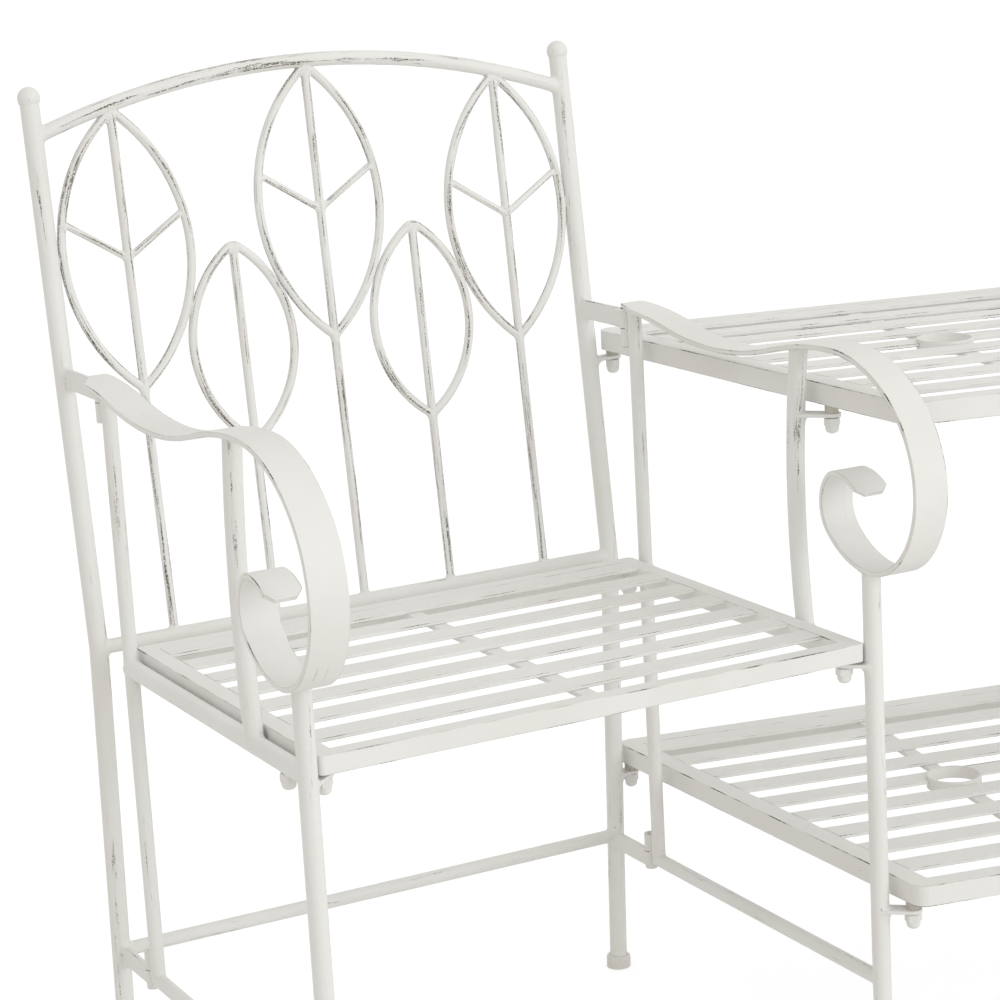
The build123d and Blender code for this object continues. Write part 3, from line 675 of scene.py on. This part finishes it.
def leaf_foot_bead(leaf, stem, mesh):
    """Adds the bead at one leaf's foot to a mesh."""
    middle, upward = stem_line(stem)
    across = chair_across(leaf.node)
    aside = upward.cross(across).normalized()
    foot = min(corner.dot(upward) for corner in leaf.corners) + leaf_foot_rise
    rings = []
    for height, width, depth in leaf_foot_rows():
        centre = middle + upward * (foot + height)
        ring = []
        for step in range(leaf_foot_sides):
            angle = 2 * math.pi * step / leaf_foot_sides
            beside = centre + across * width * math.cos(angle)
            ring.append(mesh.verts.new(beside + aside * depth * math.sin(angle)))
        rings.append(ring)
    for lower, upper in zip(rings, rings[1:]):
        for step in range(leaf_foot_sides):
            ahead = (step + 1) % leaf_foot_sides
            mesh.faces.new((lower[step], lower[ahead], upper[ahead], upper[step]))
    mesh.faces.new(rings[0])
    mesh.faces.new(rings[-1])


def distance_to_line(point, line):
    """Distance of a point from a line given by a point and a direction."""
    away = point - line[0]
    return (away - line[1] * away.dot(line[1])).length


stems = [solid for solid in solids if kind_of(solid.node) == "leaf_stems"]
for leaf in solids:
    if kind_of(leaf.node) not in ("tall_leaves", "short_leaves"):
        continue
    lowest = min(leaf.corners, key=lambda corner: corner.z)
    stem = min(stems, key=lambda candidate: distance_to_line(lowest, stem_line(candidate)))
    leaf_foot_bead(leaf, stem, weld_mesh)


# Finished pieces


def vertex_groups(mesh):
    """Vertices of each connected solid, with vertices and edges numbered anew."""
    mesh.verts.index_update()
    mesh.verts.ensure_lookup_table()
    mesh.edges.index_update()
    return connected_groups(mesh.verts, vertices_beside)


def surface_distances(mesh, group):
    """Distance of each vertex of a group from one end of it, measured along the mesh's edges."""
    middle = sum((vertex.co for vertex in group), Vector()) / len(group)
    end = max(group, key=lambda vertex: ((vertex.co - middle).length_squared, vertex.index))
    distance = {end.index: 0.0}
    waiting = [(0.0, end.index)]
    while waiting:
        reach, number = heappop(waiting)
        if reach > distance[number]:
            continue
        vertex = mesh.verts[number]
        for edge in vertex.link_edges:
            neighbour = edge.other_vert(vertex)
            further = reach + edge.calc_length()
            if further < distance.get(neighbour.index, math.inf):
                distance[neighbour.index] = further
                heappush(waiting, (further, neighbour.index))
    return distance


def bar_grain(mesh, node, shape):
    """Gives each vertex its place along its bar, and on flat bars its place across."""
    along = mesh.verts.layers.float.new("along")
    side = mesh.verts.layers.float_vector.new("side")
    across = chair_across(node)
    for group in vertex_groups(mesh):
        middle = sum((vertex.co for vertex in group), Vector()) / len(group)
        offset = noise.noise(middle * grain_offset_pitch) * grain_offset_reach
        if shape == "straight":
            edges = {edge for vertex in group for edge in vertex.link_edges}
            longest = max(edges, key=lambda edge: (edge.calc_length(), edge.index))
            axis = (longest.verts[1].co - longest.verts[0].co).normalized()
            flat = axis.cross(Vector((0, 0, 1))).normalized()
            for vertex in group:
                vertex[along] = vertex.co.dot(axis) + offset
                vertex[side] = Vector((vertex.co.dot(flat), vertex.co.z, 0)) / grain_size
            continue
        distance = surface_distances(mesh, group)
        for vertex in group:
            vertex[along] = distance[vertex.index] + offset
            vertex[side] = Vector((vertex.co.dot(across), 0, 0)) / grain_size


def rounded_edges(mesh, node, rounding):
    """Joins flat faces, rounds the free outer edges, and marks the new faces as edge."""
    for face in mesh.faces:
        face.material_index = 1 if (node, face.index) in touching else 0
    bmesh.ops.dissolve_limit(
        mesh,
        angle_limit=flat_angle,
        verts=mesh.verts,
        edges=mesh.edges,
        delimit={"MATERIAL"},
    )
    layer = mesh.faces.layers.float.new("edge")
    edges = []
    for edge in mesh.edges:
        if len(edge.link_faces) != 2 or not edge.is_convex or edge.calc_face_angle() < corner_angle:
            continue
        if all(face.material_index == 0 for face in edge.link_faces):
            edges.append(edge)
    if not rounding or not edges:
        return
    made = bmesh.ops.bevel(
        mesh,
        geom=edges,
        offset=rounding,
        segments=rounding_steps,
        profile=0.5,
        affect="EDGES",
        clamp_overlap=True,
    )
    for face in made["faces"]:
        face[layer] = 1.0


def sunk_pins(mesh):
    """Draws the free ends of the hinge pins back into their knuckles."""
    for group in vertex_groups(mesh):
        low = min(vertex.co.z for vertex in group)
        high = max(vertex.co.z for vertex in group)
        for vertex in group:
            if low > upper_hinge_height and vertex.co.z < low + merge_distance:
                vertex.co.z += pin_recess
            elif low < upper_hinge_height and vertex.co.z > high - merge_distance:
                vertex.co.z -= pin_recess


def turn_inner_arm(mesh, node):
    """Turns an inner arm's clipped rear corner to the seat's side, and widens its tongue."""
    towards_seat = -chair_across(node) if node.startswith("left_") else chair_across(node)
    rearward = Vector((0, 0, 1)).cross(chair_across(node))
    places = [vertex.co.dot(towards_seat) for vertex in mesh.verts]
    seat_side, table_side = max(places), min(places)
    width = seat_side - table_side
    rear = max(vertex.co.dot(rearward) for vertex in mesh.verts)
    for vertex in mesh.verts:
        from_table = seat_side - vertex.co.dot(towards_seat)
        share = min(1.0, (rear - vertex.co.dot(rearward)) / tongue_length)
        clipped = tongue_width + (width - tongue_width) * share
        wanted = inner_tongue_width + (width - inner_tongue_width) * share
        place = table_side + from_table * wanted / clipped
        vertex.co += towards_seat * (place - vertex.co.dot(towards_seat))
    bmesh.ops.reverse_faces(mesh, faces=mesh.faces)


def finished_object(name, mesh, material, even=True):
    """Object of a finished mesh, smooth between its sharp edges, riding on the seat."""
    data = bpy.data.meshes.new(name)
    mesh.to_mesh(data)
    mesh.free()
    if "custom_normal" in data.attributes:
        data.attributes.remove(data.attributes["custom_normal"])
    data.materials.clear()
    data.materials.append(material)
    for polygon in data.polygons:
        polygon.material_index = 0
    data.shade_smooth()
    data.set_sharp_from_angle(angle=corner_angle)
    piece = bpy.data.objects.new(name, data)
    scene.collection.objects.link(piece)
    if even:
        weighted = piece.modifiers.new("even_normals", "WEIGHTED_NORMAL")
        weighted.keep_sharp = True
        weighted.weight = normal_weight
        bpy.context.view_layer.update()
        depsgraph = bpy.context.evaluated_depsgraph_get()
        piece.data = bpy.data.meshes.new_from_object(piece.evaluated_get(depsgraph))
        piece.modifiers.clear()
    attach(piece, "root")
    return piece


def small_piece(name, mesh, material, even=True):
    """Finished object of small round forms, which have no worn edges."""
    mesh.faces.layers.float.new("edge")
    bar_grain(mesh, name, round_bar)
    return finished_object(name, mesh, material, even)


round_bar = "round"
straight_bar = "straight"
bent_bar = "bent"
finishes = {
    "inner_armrest": (arm_rounding, arm_paint, "bar_paint", bent_bar),
    "outer_armrest": (arm_rounding, arm_paint, "bar_paint", bent_bar),
    "hinge_straps": (fitting_rounding, panel_paint, "bar_paint", straight_bar),
    "seat_frame": (rail_rounding, panel_paint, "bar_paint", straight_bar),
    "seat_slats": (slat_rounding, slat_paint, "bar_paint", straight_bar),
    "seat_brace": (slat_rounding, slat_paint, "bar_paint", straight_bar),
    "table_top_frame": (rail_rounding, panel_paint, "bar_paint", straight_bar),
    "table_top_slats": (slat_rounding, slat_paint, "bar_paint", straight_bar),
    "table_top_brace": (slat_rounding, slat_paint, "bar_paint", straight_bar),
    "table_top_ring": (ring_rounding, fitting_paint, "bar_paint", round_bar),
    "shelf_frame": (rail_rounding, panel_paint, "bar_paint", straight_bar),
    "shelf_slats": (slat_rounding, slat_paint, "bar_paint", straight_bar),
    "shelf_brace": (slat_rounding, slat_paint, "bar_paint", straight_bar),
    "shelf_ring": (ring_rounding, fitting_paint, "bar_paint", round_bar),
    "hinge_knuckles": (fitting_rounding, fitting_paint, "fastener_paint", round_bar),
    "hinge_pins": (0.0, fitting_paint, "fastener_paint", round_bar),
    "panel_brackets": (0.0, fitting_paint, "fastener_paint", round_bar),
    "panel_studs": (0.0, fitting_paint, "fastener_paint", round_bar),
    # Spacers carry painted shade of the gap they sit in
    "stud_spacers": (0.0, shaded_spacer_paint, "fastener_paint", round_bar),
    "ball_finials": (0.0, tube_paint, "fastener_paint", round_bar),
    "foot_caps": (0.0, foot_plastic, "foot_plastic", round_bar),
    "tall_leaves": (0.0, leaf_paint, "tube_paint", round_bar),
    "short_leaves": (0.0, leaf_paint, "tube_paint", round_bar),
    "leaf_stems": (0.0, leaf_paint, "tube_paint", round_bar),
    "leaf_veins": (0.0, leaf_paint, "tube_paint", round_bar),
    "back_top_rail": (0.0, rail_paint, "tube_paint", round_bar),
}
tube_finish = (0.0, tube_paint, "tube_paint", round_bar)

for node, mesh in meshes.items():
    if node == "domed_nuts":
        continue
    rounding, material, slot, shape = finishes.get(kind_of(node), tube_finish)
    if node == "hinge_pins":
        sunk_pins(mesh)
    if kind_of(node) == "inner_armrest":
        turn_inner_arm(mesh, node)
    rounded_edges(mesh, node, rounding)
    bar_grain(mesh, node, shape)
    piece = finished_object(node + ".painted", mesh, material)
    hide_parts(node)

bmesh.ops.recalc_face_normals(weld_mesh, faces=weld_mesh.faces)
small_piece("weld_fillets", weld_mesh, weld_paint, even=False)


# Domed nuts and dark discs of painted shade in the gaps, one shape each set on many places


def turned(mesh, profile, sides):
    """Adds a closed turned body to a mesh, from radius and height pairs that end on the axis."""
    rings = []
    for radius, height in profile:
        if radius < merge_distance:
            rings.append([mesh.verts.new((0, 0, height))])
            continue
        ring = []
        for step in range(sides):
            angle = 2 * math.pi * step / sides
            ring.append(mesh.verts.new((radius * math.cos(angle), radius * math.sin(angle), height)))
        rings.append(ring)
    for lower, upper in zip(rings, rings[1:]):
        for step in range(sides):
            ahead = (step + 1) % sides
            corners = [lower[step % len(lower)], lower[ahead % len(lower)]]
            corners += [upper[ahead % len(upper)], upper[step % len(upper)]]
            mesh.faces.new(list(dict.fromkeys(corners)))


def shape_object(name, mesh):
    """Object of a shape that a node tree repeats."""
    bmesh.ops.recalc_face_normals(mesh, faces=mesh.faces)
    data = bpy.data.meshes.new(name)
    mesh.to_mesh(data)
    mesh.free()
    return bpy.data.objects.new(name, data)


def nut_shape():
    """Hexagon and dome, hanging down from the origin below its seam."""
    mesh = bmesh.new()
    hex_corner = nut_flats / 2 / math.cos(math.pi / 6)
    top = -nut_seam_height
    foot = top - nut_hex_height
    hexagon = [
        (0, top),
        (hex_corner - nut_chamfer, top),
        (hex_corner, top - nut_chamfer),
        (hex_corner, foot + nut_chamfer),
        (hex_corner - 2 * nut_chamfer, foot),
        (0, foot),
    ]
    turned(mesh, hexagon, 6)
    base = foot + nut_chamfer
    shoulder = base - (nut_height + base) * nut_shoulder_share
    half = nut_dome_width / 2
    narrow = half * nut_dome_taper
    profile = [(0, base), (half, base), (narrow, shoulder)]
    for step in range(1, nut_dome_steps):
        angle = math.pi / 2 * step / nut_dome_steps
        drop = (nut_height + shoulder) * math.sin(angle)
        profile.append((narrow * math.cos(angle), shoulder - drop))
    profile.append((0, -nut_height))
    turned(mesh, profile, nut_dome_sides)
    return shape_object("domed_nut_shape", mesh)


def seam_shape(name, width, height):
    """Thin dark disc of painted shade in the gap between two fittings, hanging down from the origin."""
    mesh = bmesh.new()
    soft = height / 5
    half = width / 2
    upper = [(0, 0), (half - soft, 0), (half, -soft)]
    lower = [(half, soft - height), (half - soft, -height), (0, -height)]
    turned(mesh, upper + lower, seam_sides)
    return shape_object(name, mesh)


def shapes_on_points(name, shape, places, material):
    """Mesh of one shape set on given places by a node tree, each turned a little about its own axis."""
    tree = bpy.data.node_groups.new(name, "GeometryNodeTree")
    interface = tree.interface
    interface.new_socket("Places", in_out="INPUT", socket_type="NodeSocketGeometry")
    shape_socket = interface.new_socket("Shape", in_out="INPUT", socket_type="NodeSocketObject")
    turn_socket = interface.new_socket("Most turn", in_out="INPUT", socket_type="NodeSocketFloat")
    seed_socket = interface.new_socket("Seed", in_out="INPUT", socket_type="NodeSocketInt")
    paint_socket = interface.new_socket("Paint", in_out="INPUT", socket_type="NodeSocketMaterial")
    interface.new_socket("Set shapes", in_out="OUTPUT", socket_type="NodeSocketGeometry")
    given = tree.nodes.new("NodeGroupInput")
    result = tree.nodes.new("NodeGroupOutput")
    info = tree.nodes.new("GeometryNodeObjectInfo")
    turn = tree.nodes.new("FunctionNodeRandomValue")
    axis = tree.nodes.new("ShaderNodeCombineXYZ")
    instances = tree.nodes.new("GeometryNodeInstanceOnPoints")
    real = tree.nodes.new("GeometryNodeRealizeInstances")
    paint = tree.nodes.new("GeometryNodeSetMaterial")
    largest_number = turn.inputs[3]
    drawn_number = turn.outputs[1]
    links = tree.links
    links.new(given.outputs["Shape"], info.inputs["Object"])
    links.new(given.outputs["Most turn"], largest_number)
    links.new(given.outputs["Seed"], turn.inputs["Seed"])
    links.new(drawn_number, axis.inputs["Z"])
    links.new(given.outputs["Places"], instances.inputs["Points"])
    links.new(info.outputs["Geometry"], instances.inputs["Instance"])
    links.new(axis.outputs["Vector"], instances.inputs["Rotation"])
    links.new(instances.outputs["Instances"], real.inputs["Geometry"])
    links.new(real.outputs["Geometry"], paint.inputs["Geometry"])
    links.new(given.outputs["Paint"], paint.inputs["Material"])
    links.new(paint.outputs["Geometry"], result.inputs["Set shapes"])

    data = bpy.data.meshes.new(name + "_places")
    data.from_pydata(places, [], [])
    holder = bpy.data.objects.new(name + "_places", data)
    scene.collection.objects.link(holder)
    modifier = holder.modifiers.new(name, "NODES")
    modifier.node_group = tree
    modifier[shape_socket.identifier] = shape
    modifier[turn_socket.identifier] = nut_most_turn
    modifier[seed_socket.identifier] = nut_turn_seed
    modifier[paint_socket.identifier] = material
    bpy.context.view_layer.update()
    depsgraph = bpy.context.evaluated_depsgraph_get()
    made = bpy.data.meshes.new_from_object(holder.evaluated_get(depsgraph))
    bpy.data.objects.remove(holder)
    bpy.data.objects.remove(shape)
    mesh = bmesh.new()
    mesh.from_mesh(made)
    bpy.data.meshes.remove(made)
    return mesh


def solid_box(solid):
    """Lowest and highest corner of a solid."""
    low = Vector(min(corner[k] for corner in solid.corners) for k in range(3))
    high = Vector(max(corner[k] for corner in solid.corners) for k in range(3))
    return low, high


nut_places = []
nut_seam_places = []
hinge_places = []
for solid in solids:
    low, high = solid_box(solid)
    middle = (low + high) / 2
    if solid.node == "domed_nuts":
        rim = Vector((low.x, middle.y, high.z))
        _, _, hit, _ = whole_surface.ray_cast(rim, Vector((0, 0, 1)), rail_nut_reach)
        under_rail = hit is not None and kind_of(solids[solid_of_triangle[hit]].node) == "seat_side_rails"
        nut_places.append((middle.x, middle.y, high.z + (rail_nut_sink if under_rail else 0.0)))
        if not under_rail:
            nut_seam_places.append((middle.x, middle.y, high.z))
    elif solid.node == "hinge_pins":
        if low.z > upper_hinge_height:
            hinge_places.append((middle.x, middle.y, high.z + hinge_seam_height / 2))
        hinge_places.append((middle.x, middle.y, middle.z + hinge_seam_height / 2))
nut_mesh = shapes_on_points("domed_nut_set", nut_shape(), nut_places, fitting_paint)
meshes.pop("domed_nuts").free()
nuts = small_piece("domed_nuts.painted", nut_mesh, fitting_paint)
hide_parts("domed_nuts")

# Dark discs of painted shade in the gaps above the nuts and in the hinges
seam_sets = {
    "nut_seams": (nut_seam_width, nut_seam_height, nut_seam_places),
    "hinge_seams": (hinge_seam_width, hinge_seam_height, hinge_places),
}
for name, (width, height, places) in seam_sets.items():
    shape = seam_shape(name + "_shape", width, height)
    seam_mesh = shapes_on_points(name + "_set", shape, places, seam_shadow)
    small_piece(name, seam_mesh, seam_shadow)


# Floor, light and camera


def seen_directly(tree):
    """1 for rays that show the background: camera, glossy and transmission rays."""
    path = add_node(tree, "ShaderNodeLightPath", (-900, 0))
    seen = combined(tree, "MAXIMUM", path.outputs["Is Camera Ray"], path.outputs["Is Glossy Ray"], (-650, 0))
    return combined(tree, "MAXIMUM", seen, path.outputs["Is Transmission Ray"], (-450, 0))


def pale_floor():
    """Plain floor that looks white and keeps a soft shadow."""
    mesh = bmesh.new()
    bmesh.ops.create_grid(mesh, x_segments=1, y_segments=1, size=floor_half_width)
    data = bpy.data.meshes.new("floor")
    mesh.to_mesh(data)
    mesh.free()
    floor = bpy.data.objects.new("floor", data)
    scene.collection.objects.link(floor)
    material = bpy.data.materials.new("pale_floor")
    material.use_nodes = True
    tree = material.node_tree
    tree.nodes.clear()
    bounce = add_node(tree, "ShaderNodeBsdfDiffuse", (-200, 200), inputs={"Color": floor_bounce})
    shadow = add_node(tree, "ShaderNodeBsdfDiffuse", (-200, 0), inputs={"Color": floor_shadow})
    glow = add_node(tree, "ShaderNodeEmission", (-200, -200), inputs={"Strength": floor_glow})
    both = add_node(tree, "ShaderNodeAddShader", (0, -100))
    chosen = add_node(tree, "ShaderNodeMixShader", (200, 0))
    output = add_node(tree, "ShaderNodeOutputMaterial", (400, 0))
    tree.links.new(shadow.outputs[0], both.inputs[0])
    tree.links.new(glow.outputs[0], both.inputs[1])
    tree.links.new(seen_directly(tree), chosen.inputs[0])
    tree.links.new(bounce.outputs[0], chosen.inputs[1])
    tree.links.new(both.outputs[0], chosen.inputs[2])
    tree.links.new(chosen.outputs[0], output.inputs["Surface"])
    data.materials.append(material)


def studio_world():
    """Even light all round, white where it is seen directly."""
    world = bpy.data.worlds.new("studio")
    scene.world = world
    world.use_nodes = True
    tree = world.node_tree
    tree.nodes.clear()
    ambient = add_node(tree, "ShaderNodeBackground", (-200, 100), inputs={"Strength": ambient_strength})
    ambient.inputs["Color"].default_value = ambient_colour
    white = add_node(tree, "ShaderNodeBackground", (-200, -100), inputs={"Strength": 1.0})
    chosen = add_node(tree, "ShaderNodeMixShader", (100, 0))
    output = add_node(tree, "ShaderNodeOutputWorld", (300, 0))
    white.inputs["Color"].default_value = (1, 1, 1, 1)
    tree.links.new(seen_directly(tree), chosen.inputs[0])
    tree.links.new(ambient.outputs[0], chosen.inputs[1])
    tree.links.new(white.outputs[0], chosen.inputs[2])
    tree.links.new(chosen.outputs[0], output.inputs["Surface"])


def soft_lamp(name, place, size, energy, colour):
    """Square area lamp aimed at the middle of the seat."""
    data = bpy.data.lights.new(name, "AREA")
    data.shape = "SQUARE"
    data.size = size
    data.energy = energy
    data.color = colour
    lamp = bpy.data.objects.new(name, data)
    lamp.location = place
    aim = Vector(lamp_target) - Vector(place)
    lamp.rotation_euler = aim.to_track_quat("-Z", "Y").to_euler()
    scene.collection.objects.link(lamp)


def photograph_camera():
    """Camera at the photograph's place, turned and tilted as there."""
    right = Vector((math.cos(camera_turn), math.sin(camera_turn), 0))
    ahead = Vector((
        -math.sin(camera_turn) * math.cos(camera_tilt),
        math.cos(camera_turn) * math.cos(camera_tilt),
        -math.sin(camera_tilt),
    ))
    up = right.cross(ahead)
    across = right * math.cos(camera_roll) + up * math.sin(camera_roll)
    upward = up * math.cos(camera_roll) - right * math.sin(camera_roll)
    data = bpy.data.cameras.new("photograph_camera")
    data.lens = camera_lens
    data.sensor_width = camera_sensor
    data.sensor_fit = "HORIZONTAL"
    data.shift_x, data.shift_y = camera_shift
    camera = bpy.data.objects.new("photograph_camera", data)
    turn = Matrix((across, upward, -ahead)).transposed().to_4x4()
    camera.matrix_world = Matrix.Translation(camera_place) @ turn
    scene.collection.objects.link(camera)
    scene.camera = camera


pale_floor()
studio_world()
soft_lamp("front_lamp", place=(2.1, -3.6, 1.6), size=2.4, energy=50, colour=(0.94, 0.97, 1.0))
soft_lamp("top_lamp", place=(1.0, -0.6, 3.2), size=2.8, energy=8, colour=(0.98, 0.99, 1.0))
photograph_camera()
